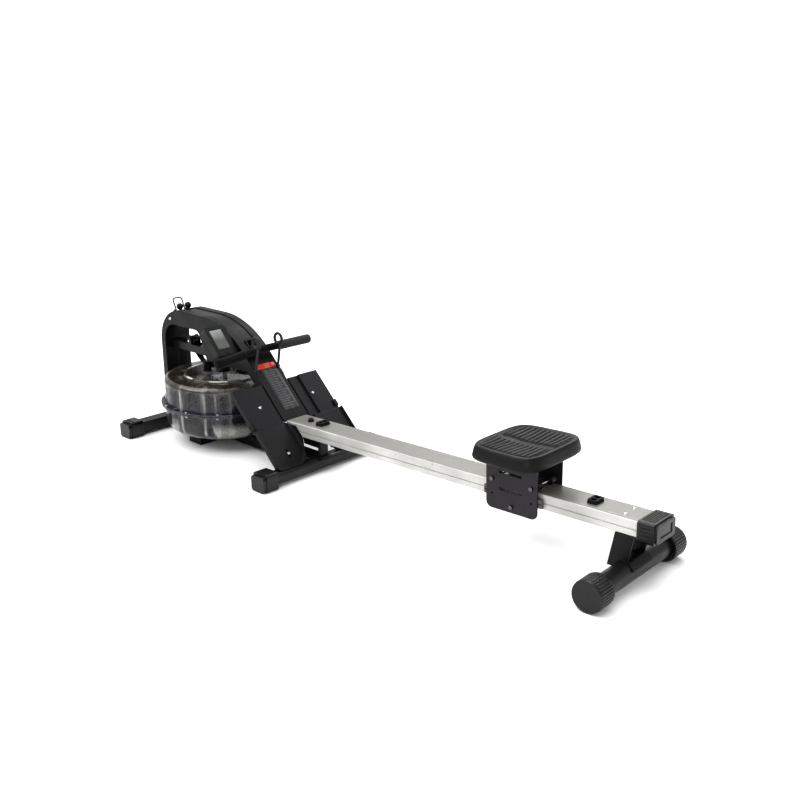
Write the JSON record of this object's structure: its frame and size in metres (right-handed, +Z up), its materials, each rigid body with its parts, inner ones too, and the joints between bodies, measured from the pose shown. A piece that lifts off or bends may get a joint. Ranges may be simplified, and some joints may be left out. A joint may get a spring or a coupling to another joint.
{
  "type": "water rowing machine",
  "caption": "Water-resistance rowing machine with an inclined aluminium rail, rolling seat, arched casing over a clear round water tank, strap handle, console and footrests.",
  "frame": {"origin": "on the floor, halfway along the overall length, on the centre plane", "axes": "+X towards the tail of the rail (the end the rower faces away from), +Y to the rower's right when facing the tank, +Z up"},
  "size_m": [2.0239, 0.536, 0.4725],
  "materials": {
    "steel_black": "satin",
    "steel_bar": "satin",
    "shell_black": "fine grain",
    "black_plastic": "fine grain",
    "cap_plastic": "moulded",
    "bright_metal": "polished",
    "decal": "printed film",
    "bridge_metal": "satin",
    "webbing": "woven",
    "cord": "sleeved",
    "console_plastic": "satin",
    "screen": "lcd",
    "button": "soft",
    "wire": "wire",
    "tank_shell": "clear moulded",
    "gasket": "soft",
    "impeller": "moulded",
    "foam": "foam",
    "handle_metal": "satin",
    "rail_metal": "anodised",
    "pedal_metal": "powder coat",
    "heel_plastic": "fine grain",
    "seat_skin": "moulded foam",
    "carriage_metal": "powder coat",
    "nylon": "nylon"
  },
  "bodies": {
    "frame": {"base_beam": "steel_black", "front_crossbar": "steel_bar", "mid_crossbar": "steel_bar", "tank_cradle": "black_plastic", "front_feet": "cap_plastic", "mid_feet": "cap_plastic", "arch_frame": "steel_black", "arch_shell_left": "shell_black", "arch_shell_right": "shell_black", "top_channel": "bridge_metal", "machine_screws": "bright_metal", "decal": "decal", "pulley_bridge": "bridge_metal", "pulley_pins": "bright_metal", "recoil_cord": "cord", "strap_guide": "black_plastic", "handle_hooks": "steel_black", "console_housing": "console_plastic", "console_screen": "screen", "phone_bracket": "black_plastic", "tank_bowl": "tank_shell", "tank_dome": "tank_shell", "tank_gasket": "gasket", "tank_bolts": "bright_metal", "pull_strap": "webbing", "rail": "rail_metal", "rail_cheeks": "steel_black", "rail_post": "steel_black", "rail_stops": "gasket", "rail_knob": "black_plastic", "rail_end_cap": "cap_plastic", "rear_leg": "steel_black", "rear_tube": "steel_bar", "footplate_left": "pedal_metal", "footplate_right": "pedal_metal", "foot_straps": "webbing"},
    "seat": {"seat_pad": "seat_skin", "seat_base": "black_plastic", "side_plates": "carriage_metal", "carriage_bolts": "bright_metal", "guide_pads": "nylon"},
    "seat_roller_front": {"roller_front": "nylon"},
    "seat_roller_rear": {"roller_rear": "nylon"},
    "seat_roller_lower": {"roller_lower": "nylon"},
    "handle": {"handle_bar": "handle_metal", "handle_grips": "foam"},
    "clip": {"strap_clip": "wire"},
    "idler": {"idler_pulley": "black_plastic"},
    "guide": {"guide_roller": "black_plastic"},
    "strap_spool": {"spool": "black_plastic"},
    "rotor": {"drive_shaft": "bright_metal", "impeller": "impeller"},
    "phone_stand": {"phone_rest": "wire"},
    "button": {"console_button": "button"},
    "plug": {"fill_plug": "black_plastic"},
    "heel_left": {"heel_rest_left": "heel_plastic"},
    "heel_right": {"heel_rest_right": "heel_plastic"},
    "cap_left": {"rear_cap_left": "cap_plastic"},
    "cap_right": {"rear_cap_right": "cap_plastic"}
  },
  "joints": [
    {"name": "seat_slide", "type": "slide", "parent": "frame", "child": "seat", "axis": [0.9996, 0, 0.0279], "range_m": [-0.712, 0.137]},
    {"name": "roller_front_spin", "type": "hinge", "parent": "seat", "child": "seat_roller_front", "pos_m": [0.52582, 0, 0.19039], "axis": [0, 1, 0], "continuous": true},
    {"name": "roller_rear_spin", "type": "hinge", "parent": "seat", "child": "seat_roller_rear", "pos_m": [0.65377, 0, 0.19396], "axis": [0, 1, 0], "continuous": true},
    {"name": "roller_lower_spin", "type": "hinge", "parent": "seat", "child": "seat_roller_lower", "pos_m": [0.5917, 0, 0.12388], "axis": [0, 1, 0], "continuous": true},
    {"name": "handle_pull", "type": "slide", "parent": "frame", "child": "handle", "axis": [1, 0, 0], "range_m": [0, 1.05], "deforming": ["pull_strap"]},
    {"name": "clip_swivel", "type": "hinge", "parent": "handle", "child": "clip", "pos_m": [-0.529, 0, 0.359], "axis": [0, 1, 0], "range_deg": [-20, 20]},
    {"name": "idler_spin", "type": "hinge", "parent": "frame", "child": "idler", "pos_m": [-0.886, 0, 0.326], "axis": [0, 1, 0], "continuous": true},
    {"name": "guide_spin", "type": "hinge", "parent": "frame", "child": "guide", "pos_m": [-0.812, 0, 0.243], "axis": [0, 0, 1], "continuous": true},
    {"name": "spool_spin", "type": "hinge", "parent": "frame", "child": "strap_spool", "pos_m": [-0.712, 0, 0.258], "axis": [0, 0, 1], "continuous": true},
    {"name": "rotor_spin", "type": "hinge", "parent": "frame", "child": "rotor", "pos_m": [-0.712, 0, 0.12], "axis": [0, 0, 1], "continuous": true},
    {"name": "phone_rest_fold", "type": "hinge", "parent": "frame", "child": "phone_stand", "pos_m": [-0.956, 0, 0.428], "axis": [0, 1, 0], "range_deg": [-60, 40]},
    {"name": "button_press", "type": "slide", "parent": "frame", "child": "button", "axis": [-0.7314, 0, -0.682], "range_m": [0, 0.0015], "stiffness_N_per_m": 300},
    {"name": "fill_plug_lift", "type": "slide", "parent": "frame", "child": "plug", "axis": [0, 0, 1], "range_m": [0, 0.04]},
    {"name": "heel_rest_left_slide", "type": "slide", "parent": "frame", "child": "heel_left", "axis": [-0.7071, 0, 0.7071], "range_m": [0, 0.008]},
    {"name": "heel_rest_right_slide", "type": "slide", "parent": "frame", "child": "heel_right", "axis": [-0.7071, 0, 0.7071], "range_m": [0, 0.008]},
    {"name": "rear_cap_left_turn", "type": "hinge", "parent": "frame", "child": "cap_left", "pos_m": [0.928, -0.19, 0.043], "axis": [0, 1, 0], "continuous": true},
    {"name": "rear_cap_right_turn", "type": "hinge", "parent": "frame", "child": "cap_right", "pos_m": [0.928, 0.19, 0.043], "axis": [0, 1, 0], "continuous": true}
  ],
  "couplings": [
    {"joint": "roller_front_spin", "follows": "seat_slide", "rad_per_m": 83.333},
    {"joint": "roller_rear_spin", "follows": "seat_slide", "rad_per_m": 83.333},
    {"joint": "roller_lower_spin", "follows": "seat_slide", "rad_per_m": -83.333},
    {"joint": "idler_spin", "follows": "handle_pull", "rad_per_m": 59.172},
    {"joint": "guide_spin", "follows": "handle_pull", "rad_per_m": 71.942},
    {"joint": "spool_spin", "follows": "handle_pull", "rad_per_m": 45.872}
  ]
}
